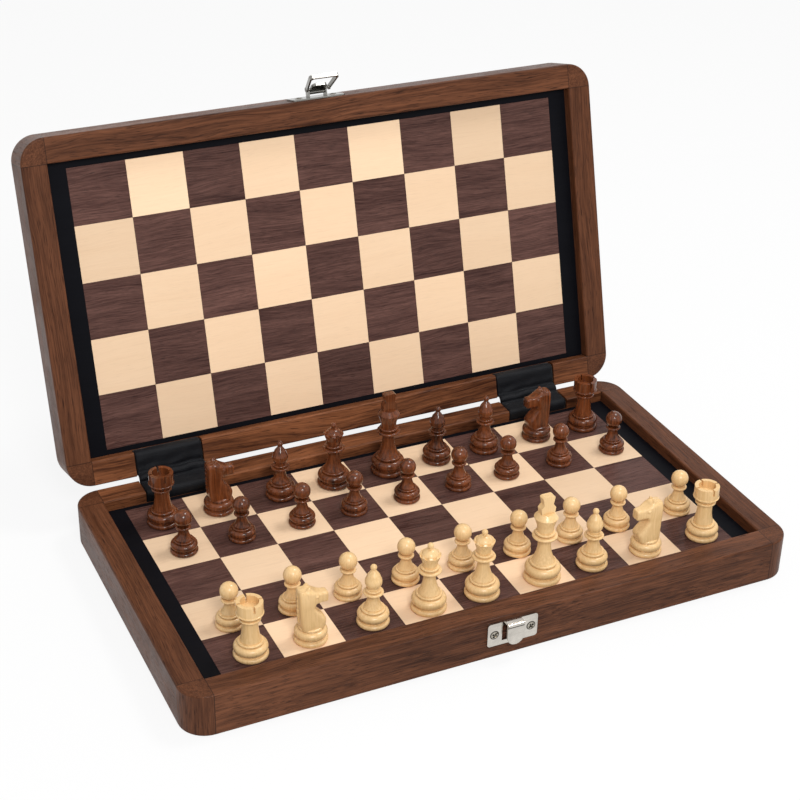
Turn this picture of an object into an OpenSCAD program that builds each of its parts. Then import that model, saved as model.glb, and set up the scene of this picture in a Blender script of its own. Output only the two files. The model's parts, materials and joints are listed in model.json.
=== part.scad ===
// Folding chess box: two shallow walnut trays hinged along one long side, each with
// a recessed chequered board, two hinge bands, a toggle clasp and a set of men.
// Frame: X along the long side, Y from the clasp to the hinge, Z up, origin at the
// centre of the base tray's underside. Sizes are in millimetres.

/* [Board] */
// Width of one square, along the long side
square_w = 30; // [24:1:40]
// Depth of one square, from front to hinge
square_d = 29; // [24:0.5:40]
// Squares along the long side
columns = 9; // [9:1:9]
// Squares from the front to the hinge
rows = 5; // [5:1:5]
// Black border beyond the squares at the left and right
side_border = 10; // [4:0.5:20]
// Black border beyond the squares on the hinge side
hinge_border = 2.7; // [1.5:0.1:8]
// Black border beyond the squares on the clasp side
front_border = 4; // [1.5:0.5:8]
// Thickness of the veneer squares
veneer_t = 0.6; // [0.4:0.1:1]
// Joint between neighbouring veneer squares
veneer_joint = 0.1; // [0.05:0.05:0.3]

/* [Tray frame] */
// Width of every frame rail, and radius of the outer corners
rail_w = 13; // [10:0.5:20]
// Height of one tray
tray_h = 22; // [19:0.5:30]
// Depth of the board surface below the rail tops
recess = 6; // [5:0.5:9]
// Radius of the eased rail edges
edge_r = 1; // [0.5:0.1:1.5]

/* [Hinge] */
// How far the lid stands open from closed, in degrees
lid_open = 105.5; // [95:0.5:110]
// Distance of the hinge axis behind the rear faces
hinge_gap = 1.2; // [1.1:0.1:1.6]
// Distance of each hinge's centre from the box's centre
hinge_x = 104.5; // [80:0.5:115]
// Length of a hinge leaf
leaf_len = 24; // [20:1:28]
// Thickness of a hinge leaf
leaf_t = 0.8; // [0.6:0.1:0.8]
// Outer radius of the hinge knuckles
knuckle_r = 1.8; // [1.6:0.1:1.9]
// Radius of the hinge pins
pin_r = 0.7; // [0.6:0.05:0.8]
// Running clearance round the hinge pins
pin_clearance = 0.05; // [0.03:0.01:0.08]
// Width of each cloth hinge band
band_w = 36; // [29:0.5:38]
// Thickness of the padded cloth band
band_t = 1; // [0.8:0.1:1]
// Depth of the notch that takes leaf and band in the rail top
notch_d = 2.2; // [2.1:0.1:2.6]

/* [Clasp] */
// Width of the catch plate on the base
catch_w = 26; // [24:0.5:32]
// Height of the catch plate
catch_h = 12.6; // [11:0.2:14]
// Distance of both clasp plates from the joint between the trays
plate_inset = 2; // [1.5:0.1:3]
// Thickness of the catch plate and its hook
catch_t = 1; // [0.8:0.1:1.2]
// Width of the hook
hook_w = 8.5; // [7:0.5:11]
// Gap between the catch plate and its hook
hook_gap = 2.2; // [2:0.1:2.6]
// Length of the hook from the plate's top edge down to its round end
hook_len = 12; // [8:0.1:12.2]
// Radius of the roll on the hook that the loop's bar catches under
hook_roll = 0.8; // [0.6:0.05:0.9]
// Width of the hasp plate on the lid
hasp_w = 29; // [28:0.5:34]
// Height of the hasp plate
hasp_h = 11; // [10:0.5:13]
// Thickness of the hasp plate
hasp_t = 0.8; // [0.6:0.1:1]
// Distance between the screws of each clasp plate
screw_span = 19; // [18:0.5:22]
// Radius of the screw heads
screw_head_r = 2.1; // [1.6:0.1:2.2]
// Length of the screws in the wood
screw_len = 8; // [6:0.5:10]
// Height of the lever's pivot above the hasp plate's lower edge
pivot_up = 4; // [3:0.1:5]
// Distance of the lever's pivot from the hasp plate
pivot_out = 2.8; // [2.6:0.1:3.2]
// Thickness of the loop's strip across the loop
loop_w = 2.2; // [1.6:0.1:2.4]
// Lean of the lever and loop from flat against the lid, in degrees
loop_lean = 148; // [120:1:150]

/* [Men] */
// Base radius of a pawn
pawn_r = 6.9; // [6:0.1:8]
// Height of a pawn
pawn_h = 23.5; // [20:0.5:27]
// Base radius of a rook
rook_r = 8.2; // [7:0.1:9]
// Height of a rook
rook_h = 29.5; // [26:0.5:34]
// Base radius of a knight
knight_r = 8; // [7:0.1:9]
// Height of a knight
knight_h = 31; // [28:0.5:34]
// Base radius of a bishop
bishop_r = 7.8; // [7:0.1:9]
// Height of a bishop
bishop_h = 32.5; // [29:0.5:36]
// Base radius of a queen
queen_r = 8.6; // [8:0.1:10]
// Height of a queen
queen_h = 36.5; // [33:0.5:40]
// Base radius of a king
king_r = 9.1; // [8:0.1:10]
// Height of a king
king_h = 47; // [44:0.5:48]
// How far the dark officers stand forward of the middle of their squares
dark_officer_shift = 3; // [0:0.5:5]
// How far the light officers stand forward of the middle of their squares
light_officer_shift = 4; // [0:0.5:5]
// How far the dark pawns stand forward of the middle of their squares
dark_pawn_shift = 2; // [0:0.5:5]
// How far the light pawns stand forward of the middle of their squares
light_pawn_shift = 8.5; // [0:0.5:9]

/* [Hidden] */
$fn = 48;
DARK_MEN = ["dark_rook_left", "dark_knight_left", "dark_bishop_left", "dark_queen", "dark_king",
    "dark_bishop_middle", "dark_bishop_right", "dark_knight_right", "dark_rook_right"];
LIGHT_MEN = ["light_rook_left", "light_knight_left", "light_bishop_left", "light_queen_left",
    "light_queen_right", "light_king", "light_bishop_right", "light_knight_right",
    "light_rook_right"];
DARK_PAWNS = [for (i = [1:9]) str("dark_pawn_", i)];
LIGHT_PAWNS = [for (i = [1:9]) str("light_pawn_", i)];
DARK_KINDS = ["rook", "knight", "bishop", "queen", "king", "bishop", "bishop", "knight", "rook"];
LIGHT_KINDS = ["rook", "knight", "bishop", "queen", "queen", "king", "bishop", "knight", "rook"];

// How far each man was set down to the right of the middle of its square
DARK_X = [-0.5, -1, 2.5, 2, 3, 1.5, 0, 2, 1];
DARK_PAWN_X = [1, 1, 3, 1.5, 1, 0.5, -1, 0.5, 3];
LIGHT_PAWN_X = [1, 2, 0, 0, 0, 0.5, 0, -3, 3];
LIGHT_X = [2, 1, 2, 0.5, -1.5, 1, -1.5, -1, 2];

// Plan sizes of a tray
field_x = columns * square_w;
field_y = rows * square_d;
inner_x = field_x + 2 * side_border;
inner_y = field_y + hinge_border + front_border;
outer_y = inner_y + 2 * rail_w;
field_front = front_border - inner_y / 2;
board_z = tray_h - recess;
// Length of the rail edge that is cut away past each end of a cutter
over = 1;

// Hinge axis, and the cloth and leaves round it
axis_y = outer_y / 2 + hinge_gap;
knuckle_clear = 0.4;
knuckle_len = leaf_len / 3;
knuckle_end_gap = 0.2;
notch_w = band_w + 0.6;
wall_notch = band_t + 0.2;
leaf_back = axis_y - knuckle_r - knuckle_clear;
leaf_front = inner_y / 2 + wall_notch + 0.8;
notch_floor = tray_h - notch_d;
leaf_top = notch_floor + leaf_t;

// Clasp: places in the closed box, where both plates lie on the front faces
face_y = -outer_y / 2;
catch_top = tray_h - plate_inset;
hasp_low = tray_h + plate_inset;
screw_r = 0.9;
head_rise = 0.4;
head_gap = 0.15;
window_web = 2.2;
plate_corner = 1.5;
pivot_y = face_y - hasp_t - pivot_out;
pivot_z = hasp_low + pivot_up;
cheek_r = 1.9;
cheek_in = 4.4;
cheek_t = 0.8;
lever_pin_r = 0.6;
lever_bore_r = 0.65;
lever_arm = 2.8;
lever_half_w = cheek_in - 0.2;
lever_len = 7.4;
lever_t = 1.5;
loop_pin_r = 0.55;
loop_bore_r = 0.62;
loop_bar = 1.1;
// Reach of the closed loop from its pivot to the underside of the roll
loop_len = pivot_z + lever_arm - catch_top + 2 * hook_roll;
loop_root = cheek_in + cheek_t + 0.4;
loop_flare = 1.2;
eye_r = 1.3;

walnut = [0.36, 0.21, 0.14];
dark_wood = [0.25, 0.15, 0.13];
pale_wood = [0.93, 0.80, 0.62];
ink = [0.06, 0.06, 0.08];
nickel = [0.80, 0.78, 0.74];
rosewood = [0.36, 0.17, 0.09];
boxwood = [0.90, 0.74, 0.48];

// ---------- shared tray shapes ----------

// Section of a rail: x from the inner face to the outer face, y up
module rail_section() {
    translate([edge_r, 0]) square([rail_w - 2 * edge_r, tray_h]);
    square([2 * edge_r, tray_h - edge_r]);
    translate([rail_w - 2 * edge_r, edge_r]) square([2 * edge_r, tray_h - 2 * edge_r]);
    translate([edge_r, tray_h - edge_r]) circle(r = edge_r);
    translate([rail_w - edge_r, tray_h - edge_r]) circle(r = edge_r);
    translate([rail_w - edge_r, edge_r]) circle(r = edge_r);
}

// Half section of a corner block, turned about the tray's inner corner
module corner_section() {
    square([rail_w - edge_r, tray_h]);
    translate([0, edge_r]) square([rail_w, tray_h - 2 * edge_r]);
    translate([rail_w - edge_r, tray_h - edge_r]) circle(r = edge_r);
    translate([rail_w - edge_r, edge_r]) circle(r = edge_r);
}

// A rail along X on the hinge side, between the corner blocks
module long_rail() {
    translate([-inner_x / 2, inner_y / 2, 0]) rotate([90, 0, 90]) linear_extrude(inner_x)
        rail_section();
}

module side_rails() {
    for (s = [0, 1]) mirror([s, 0, 0])
        translate([inner_x / 2, inner_y / 2, 0]) rotate([90, 0, 0]) linear_extrude(inner_y)
            rail_section();
}

module corner_blocks() {
    for (a = [0, 1], b = [0, 1]) mirror([a, 0, 0]) mirror([0, b, 0])
        translate([inner_x / 2, inner_y / 2, 0]) rotate_extrude(angle = 90) corner_section();
}

// What the leaf and the cloth band take out of the hinge rail
module band_notches() {
    for (s = [-1, 1]) translate([s * hinge_x - notch_w / 2, 0, 0]) {
        translate([0, inner_y / 2 - over, notch_floor])
            cube([notch_w, rail_w + 2 * over, notch_d + over]);
        translate([0, inner_y / 2 - over, board_z])
            cube([notch_w, wall_notch + over, recess + over]);
    }
}

module hinge_rail() {
    difference() {
        long_rail();
        band_notches();
    }
}

// A rail on the clasp side, bored for two screws at the height z
module clasp_rail(z) {
    difference() {
        mirror([0, 1, 0]) long_rail();
        for (s = [-1, 1]) translate([s * screw_span / 2, face_y - over, z])
            rotate([-90, 0, 0]) cylinder(r = screw_r, h = screw_len + over);
    }
}

// The board's core, let down under the veneer field
module board_core() {
    difference() {
        translate([-inner_x / 2, -inner_y / 2, 0]) cube([inner_x, inner_y, board_z]);
        translate([-field_x / 2, field_front, board_z - veneer_t])
            cube([field_x, field_y, veneer_t + over]);
    }
}

// The squares of one colour: parity 0 is the dark colour of the corners
module squares(parity) {
    for (i = [0:columns - 1], j = [0:rows - 1]) if ((i + j) % 2 == parity)
        translate([-field_x / 2 + i * square_w + veneer_joint / 2,
                   field_front + j * square_d + veneer_joint / 2, board_z - veneer_t])
            cube([square_w - veneer_joint, square_d - veneer_joint, veneer_t]);
}

// ---------- hinges and bands ----------

// One knuckle along X, from x0, as a solid cylinder on the hinge axis
module knuckle(x0, len, r) {
    translate([x0, axis_y, tray_h]) rotate([0, 90, 0]) cylinder(r = r, h = len);
}

// A leaf in the notch, with a tab of the given start and length under its own knuckle
module leaf_plate() {
    translate([-leaf_len / 2, leaf_front, notch_floor])
        cube([leaf_len, leaf_back - leaf_front, leaf_t]);
}

module leaf_tab(x0, len) {
    translate([x0, leaf_back - over, notch_floor]) cube([len, axis_y - leaf_back + over, leaf_t]);
}

// Base leaf: two outer knuckles and the pin between them
module base_leaf() {
    outer_len = knuckle_len - knuckle_end_gap;
    leaf_plate();
    for (x0 = [-leaf_len / 2, leaf_len / 2 - outer_len]) {
        leaf_tab(x0, outer_len);
        knuckle(x0, outer_len, knuckle_r);
    }
    knuckle(-leaf_len / 2, leaf_len, pin_r);
}

// Lid leaf: the middle knuckle, bored for the pin
module lid_leaf() {
    x0 = -knuckle_len / 2;
    difference() {
        union() {
            leaf_plate();
            leaf_tab(x0, knuckle_len);
            knuckle(x0, knuckle_len, knuckle_r);
        }
        knuckle(x0 - over, knuckle_len + 2 * over, pin_r + pin_clearance);
    }
}

// One band: down the inner wall and over the rail to the fold
module band_half() {
    wall_y = inner_y / 2 + wall_notch - band_t;
    top_z = leaf_top + band_t;
    translate([-band_w / 2, 0, 0]) {
        translate([0, wall_y, board_z]) cube([band_w, band_t, top_z - band_t - board_z]);
        translate([0, wall_y + band_t, leaf_top])
            cube([band_w, leaf_back - 0.2 - wall_y - band_t, band_t]);
        intersection() {
            translate([0, wall_y + band_t, leaf_top]) rotate([0, 90, 0])
                cylinder(r = band_t, h = band_w);
            translate([0, wall_y, leaf_top]) cube([band_w, band_t, band_t]);
        }
    }
}

module at_hinges() {
    for (s = [-1, 1]) translate([s * hinge_x, 0, 0]) children();
}

// ---------- clasp ----------

// A plate with round corners, standing on the face y, its lower edge at z
module clasp_plate(w, h, t, z) {
    difference() {
        translate([0, face_y, z]) rotate([90, 0, 0]) linear_extrude(t) union() {
            translate([-w / 2 + plate_corner, 0]) square([w - 2 * plate_corner, h]);
            translate([-w / 2, plate_corner]) square([w, h - 2 * plate_corner]);
            for (x = [-1, 1], y = [plate_corner, h - plate_corner])
                translate([x * (w / 2 - plate_corner), y]) circle(r = plate_corner);
        }
        for (s = [-1, 1]) translate([s * screw_span / 2, face_y + over, z + h / 2])
            rotate([90, 0, 0]) cylinder(r = screw_head_r + head_gap, h = t + 2 * over);
    }
}

// The hook: a strip bent out at the plate's top edge, with a roll at the bend, and down
// in front of the plate to a round end
module hook() {
    reach = catch_t + hook_gap;
    low = catch_top - hook_len;
    intersection() {
        translate([-hook_w / 2, face_y, 0]) rotate([90, 0, 90]) linear_extrude(hook_w) union() {
            translate([-reach - catch_t / 2, catch_top - catch_t])
                square([reach + catch_t / 2, catch_t]);
            translate([-reach - catch_t, low]) square([catch_t, hook_len - hook_roll]);
            translate([-reach - catch_t, catch_top - hook_roll]) circle(r = hook_roll);
        }
        translate([0, face_y + over, 0]) rotate([90, 0, 0])
            linear_extrude(reach + 3 * catch_t + over) union() {
                translate([0, low + hook_w / 2]) circle(r = hook_w / 2);
                translate([-hook_w / 2, low + hook_w / 2]) square([hook_w, hook_len]);
            }
    }
}

// Two screws with crossed slots, for a plate of thickness t at the height z
module screws(t, z) {
    slot_w = 0.7;
    for (s = [-1, 1]) translate([s * screw_span / 2, face_y, z]) rotate([90, 0, 0])
        difference() {
            union() {
                translate([0, 0, -screw_len]) cylinder(r = screw_r, h = screw_len + t);
                cylinder(r = screw_head_r, h = t);
                translate([0, 0, t])
                    cylinder(r1 = screw_head_r, r2 = 0.65 * screw_head_r, h = head_rise, $fn = 48);
            }
            for (a = [45, 135]) rotate([0, 0, a])
                translate([-0.7 * screw_head_r, -slot_w / 2, t - 0.3])
                    cube([1.4 * screw_head_r, slot_w, 1]);
        }
}

module hasp_cheeks() {
    for (s = [-1, 1]) translate([s * (cheek_in + cheek_t / 2) - cheek_t / 2, 0, 0]) {
        translate([0, pivot_y, pivot_z - cheek_r])
            cube([cheek_t, pivot_out + hasp_t / 2, 2 * cheek_r]);
        translate([0, pivot_y, pivot_z]) rotate([0, 90, 0]) cylinder(r = cheek_r, h = cheek_t);
    }
    translate([-cheek_in - cheek_t, pivot_y, pivot_z]) rotate([0, 90, 0])
        cylinder(r = lever_pin_r, h = 2 * (cheek_in + cheek_t));
}

// Turns a part of the clasp about the lever's pivot: 0 is flat against the lid
module leaned() {
    translate([0, pivot_y, pivot_z]) rotate([loop_lean, 0, 0]) children();
}

// Lever, drawn flat: z along it from the pivot, with the loop's pin across it
module lever_shape() {
    difference() {
        union() {
            translate([-lever_half_w, 0, 0]) rotate([0, 90, 0])
                cylinder(r = 1.4, h = 2 * lever_half_w);
            translate([0, lever_t / 2, 0]) rotate([90, 0, 0]) linear_extrude(lever_t) union() {
                translate([-lever_half_w, 0]) square([2 * lever_half_w, lever_len - 2]);
                translate([-lever_half_w + 2, 0]) square([2 * lever_half_w - 4, lever_len]);
                for (s = [-1, 1]) translate([s * (lever_half_w - 2), lever_len - 2]) circle(r = 2);
            }
            translate([-loop_root - loop_bar - 0.2, 0, lever_arm]) rotate([0, 90, 0])
                cylinder(r = loop_pin_r, h = 2 * (loop_root + loop_bar + 0.2));
        }
        translate([-lever_half_w - over, 0, 0]) rotate([0, 90, 0])
            cylinder(r = lever_bore_r, h = 2 * (lever_half_w + over));
    }
}

// Loop, drawn flat: a flared frame of strip with an eye at each foot
module loop_shape() {
    far = loop_len + loop_bar;
    translate([0, loop_w / 2, lever_arm]) rotate([90, 0, 0]) linear_extrude(loop_w) difference() {
        polygon([[-loop_root - loop_bar, eye_r - 0.2], [loop_root + loop_bar, eye_r - 0.2],
                 [loop_root + loop_bar + loop_flare, far - 1.2],
                 [loop_root + loop_flare, far], [-loop_root - loop_flare, far],
                 [-loop_root - loop_bar - loop_flare, far - 1.2]]);
        polygon([[-loop_root, -over], [loop_root, -over],
                 [loop_root + loop_flare, loop_len - 0.9],
                 [loop_root + loop_flare - 0.9, loop_len],
                 [-loop_root - loop_flare + 0.9, loop_len],
                 [-loop_root - loop_flare, loop_len - 0.9]]);
    }
    for (x0 = [-loop_root - loop_bar, loop_root]) translate([x0, 0, lever_arm]) rotate([0, 90, 0])
        difference() {
            cylinder(r = eye_r, h = loop_bar);
            translate([0, 0, -over]) cylinder(r = loop_bore_r, h = loop_bar + 2 * over);
        }
}

// ---------- lid: mirrored from the base, then opened about the hinge ----------

module lid_place() {
    translate([0, axis_y, tray_h]) rotate([-lid_open, 0, 0]) translate([0, -axis_y, -tray_h])
        children();
}

module lid_mirrored() {
    lid_place() translate([0, 0, 2 * tray_h]) mirror([0, 0, 1]) children();
}

// ---------- men ----------

// A turned ring: outer radius r, middle height z, thickness t, round edge
module bead(r, z, t) {
    translate([0, z - t / 2]) square([r - t / 2, t]);
    translate([r - t / 2, z]) circle(d = t);
}

// A foot of base radius r and height h: disc, groove, swelling ring and step
module foot(r, h) {
    bead(r, 0.14 * h, 0.28 * h);
    square([r - 0.14 * h, 0.14 * h]);
    square([r - 0.17 * h, 0.5 * h]);
    bead(r - 0.03 * h, 0.57 * h, 0.46 * h);
    square([0.66 * r, 0.9 * h]);
    bead(0.74 * r, 0.88 * h, 0.13 * h);
    square([0.6 * r, h]);
}

// A hollowed trunk from radius r0 at z0 to r1 at z1, sagging inwards by s
module trunk(r0, z0, r1, z1, s) {
    c = norm([r1 - r0, z1 - z0]);
    big = (c * c / 4 + s * s) / (2 * s);
    out = [z1 - z0, r0 - r1] / c;
    difference() {
        polygon([[0, z0], [r0, z0], [r1, z1], [0, z1]]);
        translate([(r0 + r1) / 2, (z0 + z1) / 2] + (big - s) * out) circle(r = big, $fn = 96);
    }
}

// Keeps a turned outline on the right of its axis and turns it
module turned() {
    rotate_extrude() intersection() {
        union() children();
        translate([0, -over]) square([2 * king_r, 2 * king_h]);
    }
}

module pawn() {
    head = 0.185 * pawn_h;
    turned() {
        foot(pawn_r, 0.33 * pawn_h);
        trunk(0.6 * pawn_r, 0.32 * pawn_h, 0.32 * pawn_r, 0.61 * pawn_h, 0.5);
        bead(0.56 * pawn_r, 0.61 * pawn_h, 0.055 * pawn_h);
        translate([0, pawn_h - head]) circle(r = head);
    }
}

module rook() {
    rim_r = 0.75 * rook_r;
    cup_r = 0.52 * rook_r;
    cup_z = 0.88 * rook_h;
    difference() {
        turned() {
            foot(rook_r, 0.31 * rook_h);
            trunk(0.6 * rook_r, 0.3 * rook_h, 0.46 * rook_r, 0.68 * rook_h, 0.5);
            bead(0.62 * rook_r, 0.69 * rook_h, 0.04 * rook_h);
            polygon([[0, 0.69 * rook_h], [0.48 * rook_r, 0.7 * rook_h], [rim_r, 0.79 * rook_h],
                     [rim_r, rook_h], [0, rook_h]]);
            bead(rim_r + 0.3, 0.8 * rook_h, 0.03 * rook_h);
        }
        translate([0, 0, cup_z]) cylinder(r = cup_r, h = rook_h);
        for (a = [0, 90]) rotate([0, 0, a]) translate([-rook_r, -0.5, cup_z + 0.6])
            cube([2 * rook_r, 1, rook_h]);
    }
}

// Side outline of the horse's head, for a knight 31 mm high that faces -X
module knight_side() {
    k = knight_h / 31;
    polygon(k * [[-5.4, 8.4], [-5.8, 11.5], [-4.4, 15.2], [-1.6, 18.6], [-2.4, 19.2],
        [-6.6, 19.4], [-7.8, 20.4], [-8.2, 23.6], [-7.6, 25.2], [-3.4, 26.4], [-0.6, 28.6],
        [-0.2, 31], [1.4, 29.6], [2.6, 30.6], [5, 28.2], [5.6, 25.5], [4.8, 8.4]]);
}

module knight(turn) {
    k = knight_h / 31;
    half_t = 3.5 * k;
    mirror([turn, 0, 0]) {
        turned() foot(knight_r, 0.285 * knight_h);
        difference() {
            translate([0, half_t, 0]) rotate([90, 0, 0]) linear_extrude(2 * half_t)
                knight_side();
            for (s = [-1, 1]) {
                translate([-2.5 * k, s * half_t, 18 * k]) rotate([0, 0, s * 12])
                    translate([-10 * k, s > 0 ? 0 : -4, 0]) cube([10 * k, 4, 14 * k]);
                translate([-6.2 * k, s * half_t, 8 * k]) rotate([0, 0, -s * 45])
                    translate([-3, -3, 0]) cube([6, 6, 13 * k]);
            }
            translate([-2 * k, -0.8, 28.2 * k]) cube([10 * k, 1.6, 5 * k]);
        }
    }
}

module bishop() {
    ball_r = 0.048 * bishop_h;
    mitre_r = 0.52 * bishop_r;
    mitre_z = 0.715 * bishop_h;
    turned() {
        foot(bishop_r, 0.29 * bishop_h);
        trunk(0.6 * bishop_r, 0.28 * bishop_h, 0.34 * bishop_r, 0.53 * bishop_h, 0.7);
        bead(0.62 * bishop_r, 0.535 * bishop_h, 0.035 * bishop_h);
        bead(0.47 * bishop_r, 0.575 * bishop_h, 0.035 * bishop_h);
        square([0.36 * bishop_r, 0.65 * bishop_h]);
        translate([0, mitre_z]) circle(r = mitre_r);
        polygon([[0, mitre_z], [0.97 * mitre_r, mitre_z + 0.25 * mitre_r],
            [0.7 * mitre_r, mitre_z + 0.95 * mitre_r], [0.9, bishop_h - 1.7 * ball_r],
            [0, bishop_h - ball_r]]);
        translate([0, bishop_h - ball_r]) circle(r = ball_r);
    }
}

module queen() {
    ball_r = 0.04 * queen_h;
    rim_r = 0.6 * queen_r;
    rim_z = 0.83 * queen_h;
    difference() {
        turned() {
            foot(queen_r, 0.27 * queen_h);
            trunk(0.62 * queen_r, 0.26 * queen_h, 0.36 * queen_r, 0.585 * queen_h, 1);
            bead(0.66 * queen_r, 0.595 * queen_h, 0.04 * queen_h);
            bead(0.52 * queen_r, 0.64 * queen_h, 0.035 * queen_h);
            polygon([[0, 0.6 * queen_h], [0.38 * queen_r, 0.65 * queen_h],
                [0.44 * queen_r, 0.73 * queen_h], [rim_r, rim_z], [0.9 * rim_r, rim_z + 0.6],
                [0, rim_z]]);
            intersection() {
                translate([0, rim_z - 1.6]) circle(r = 0.78 * rim_r + 0.6);
                translate([0, rim_z - 1]) square([rim_r, 0.14 * queen_h]);
            }
            square([0.8, queen_h - ball_r]);
            translate([0, queen_h - ball_r]) circle(r = ball_r);
        }
        for (a = [0:45:315]) rotate([0, 0, a]) translate([rim_r - 0.9, 0, rim_z + 0.7])
            rotate([0, 90, 0]) cylinder(r = 1.1, h = 3);
    }
}

module king() {
    rim_r = 0.62 * king_r;
    rim_z = 0.755 * king_h;
    top_z = 0.8 * king_h;
    turned() {
        foot(king_r, 0.235 * king_h);
        trunk(0.64 * king_r, 0.22 * king_h, 0.38 * king_r, 0.515 * king_h, 1.2);
        bead(0.68 * king_r, 0.525 * king_h, 0.034 * king_h);
        bead(0.54 * king_r, 0.565 * king_h, 0.03 * king_h);
        polygon([[0, 0.53 * king_h], [0.42 * king_r, 0.575 * king_h],
            [0.46 * king_r, 0.65 * king_h], [rim_r, rim_z - 0.6], [rim_r, rim_z],
            [0.42 * king_r, top_z], [0, top_z]]);
        bead(rim_r + 0.2, rim_z - 0.4, 0.8);
    }
    translate([0, 1.9, 0]) rotate([90, 0, 0]) linear_extrude(3.8)
        polygon([[-3.4, top_z - 0.6], [3.4, top_z - 0.6], [3.9, 0.865 * king_h],
            [2.4, 0.905 * king_h], [3.2, king_h - 0.6], [2.4, king_h], [-2.4, king_h],
            [-3.2, king_h - 0.6], [-2.4, 0.905 * king_h], [-3.9, 0.865 * king_h]]);
}

// Stands a man on the board: column from the left, row from the hinge, and how far it
// stands to the right and forward of the middle of its square
module on_square(column, row, right, forward) {
    translate([(column - (columns - 1) / 2) * square_w + right,
               field_front + field_y - (row + 0.5) * square_d - forward, board_z]) children();
}

// An officer of the given kind; a knight looks to the middle of the board
module officer(kind, column) {
    if (kind == "rook") rook();
    if (kind == "knight") knight(column < columns / 2 ? 1 : 0);
    if (kind == "bishop") bishop();
    if (kind == "queen") queen();
    if (kind == "king") king();
}

module dark_officer(i) {
    color(rosewood) on_square(i, 0, DARK_X[i], dark_officer_shift) officer(DARK_KINDS[i], i);
}

module light_officer(i) {
    color(boxwood) on_square(i, rows - 1, LIGHT_X[i], light_officer_shift)
        officer(LIGHT_KINDS[i], i);
}

module dark_pawn(i) {
    color(rosewood) on_square(i, 1, DARK_PAWN_X[i], dark_pawn_shift) pawn();
}

module light_pawn(i) {
    color(boxwood) on_square(i, rows - 2, LIGHT_PAWN_X[i], light_pawn_shift) pawn();
}

// ---------- base tray ----------

module base_front_rail() { color(walnut) clasp_rail(catch_top - catch_h / 2); }
module base_rear_rail() { color(walnut) hinge_rail(); }
module base_side_rails() { color(walnut) side_rails(); }
module base_corner_blocks() { color(walnut) corner_blocks(); }
module base_board() { color(ink) board_core(); }
module base_dark_squares() { color(dark_wood) squares(0); }
module base_light_squares() { color(pale_wood) squares(1); }
module base_hinge_leaves() { color(nickel) at_hinges() base_leaf(); }
module base_bands() { color(ink) at_hinges() band_half(); }

// The catch plate, with the window that its hook was cut and bent out of
module catch_plate() {
    window_w = hook_w + 2.6;
    color(nickel) {
        difference() {
            clasp_plate(catch_w, catch_h, catch_t, catch_top - catch_h);
            translate([-window_w / 2, face_y - catch_t - over, catch_top - catch_h + window_web])
                cube([window_w, catch_t + 2 * over, catch_h - 2 * window_web]);
        }
        hook();
    }
}

module catch_screws() { color(nickel) screws(catch_t, catch_top - catch_h / 2); }

// ---------- lid ----------

module lid_front_rail() {
    color(walnut) lid_mirrored() clasp_rail(tray_h - plate_inset - hasp_h / 2);
}
module lid_rear_rail() { color(walnut) lid_mirrored() hinge_rail(); }
module lid_side_rails() { color(walnut) lid_mirrored() side_rails(); }
module lid_corner_blocks() { color(walnut) lid_mirrored() corner_blocks(); }
module lid_board() { color(ink) lid_mirrored() board_core(); }
module lid_dark_squares() { color(dark_wood) lid_mirrored() squares(0); }
module lid_light_squares() { color(pale_wood) lid_mirrored() squares(1); }
module lid_hinge_leaves() { color(nickel) lid_mirrored() at_hinges() lid_leaf(); }
module lid_bands() { color(ink) lid_mirrored() at_hinges() band_half(); }

module hasp_plate() {
    color(nickel) lid_place() {
        clasp_plate(hasp_w, hasp_h, hasp_t, hasp_low);
        hasp_cheeks();
    }
}

module hasp_screws() { color(nickel) lid_place() screws(hasp_t, hasp_low + hasp_h / 2); }
module hasp_lever() { color(nickel) lid_place() leaned() lever_shape(); }
module hasp_loop() { color(nickel) lid_place() leaned() loop_shape(); }

base_front_rail();
base_rear_rail();
base_side_rails();
base_corner_blocks();
base_board();
base_dark_squares();
base_light_squares();
base_hinge_leaves();
base_bands();
catch_plate();
catch_screws();
lid_front_rail();
lid_rear_rail();
lid_side_rails();
lid_corner_blocks();
lid_board();
lid_dark_squares();
lid_light_squares();
lid_hinge_leaves();
lid_bands();
hasp_plate();
hasp_screws();
hasp_lever();
hasp_loop();
for (i = [0:8]) dark_officer(i);
for (i = [0:8]) dark_pawn(i);
for (i = [0:8]) light_pawn(i);
for (i = [0:8]) light_officer(i);
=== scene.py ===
"""Dresses a folding chess box: walnut frames, veneered boards, cloth hinge bands, a toggle
clasp and turned men, on a white studio floor. All lengths are in metres."""

import json
import math
import bpy
import numpy as np
from bpy.props import FloatProperty, FloatVectorProperty, PointerProperty
from mathutils import Euler, Matrix, Vector


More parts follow.
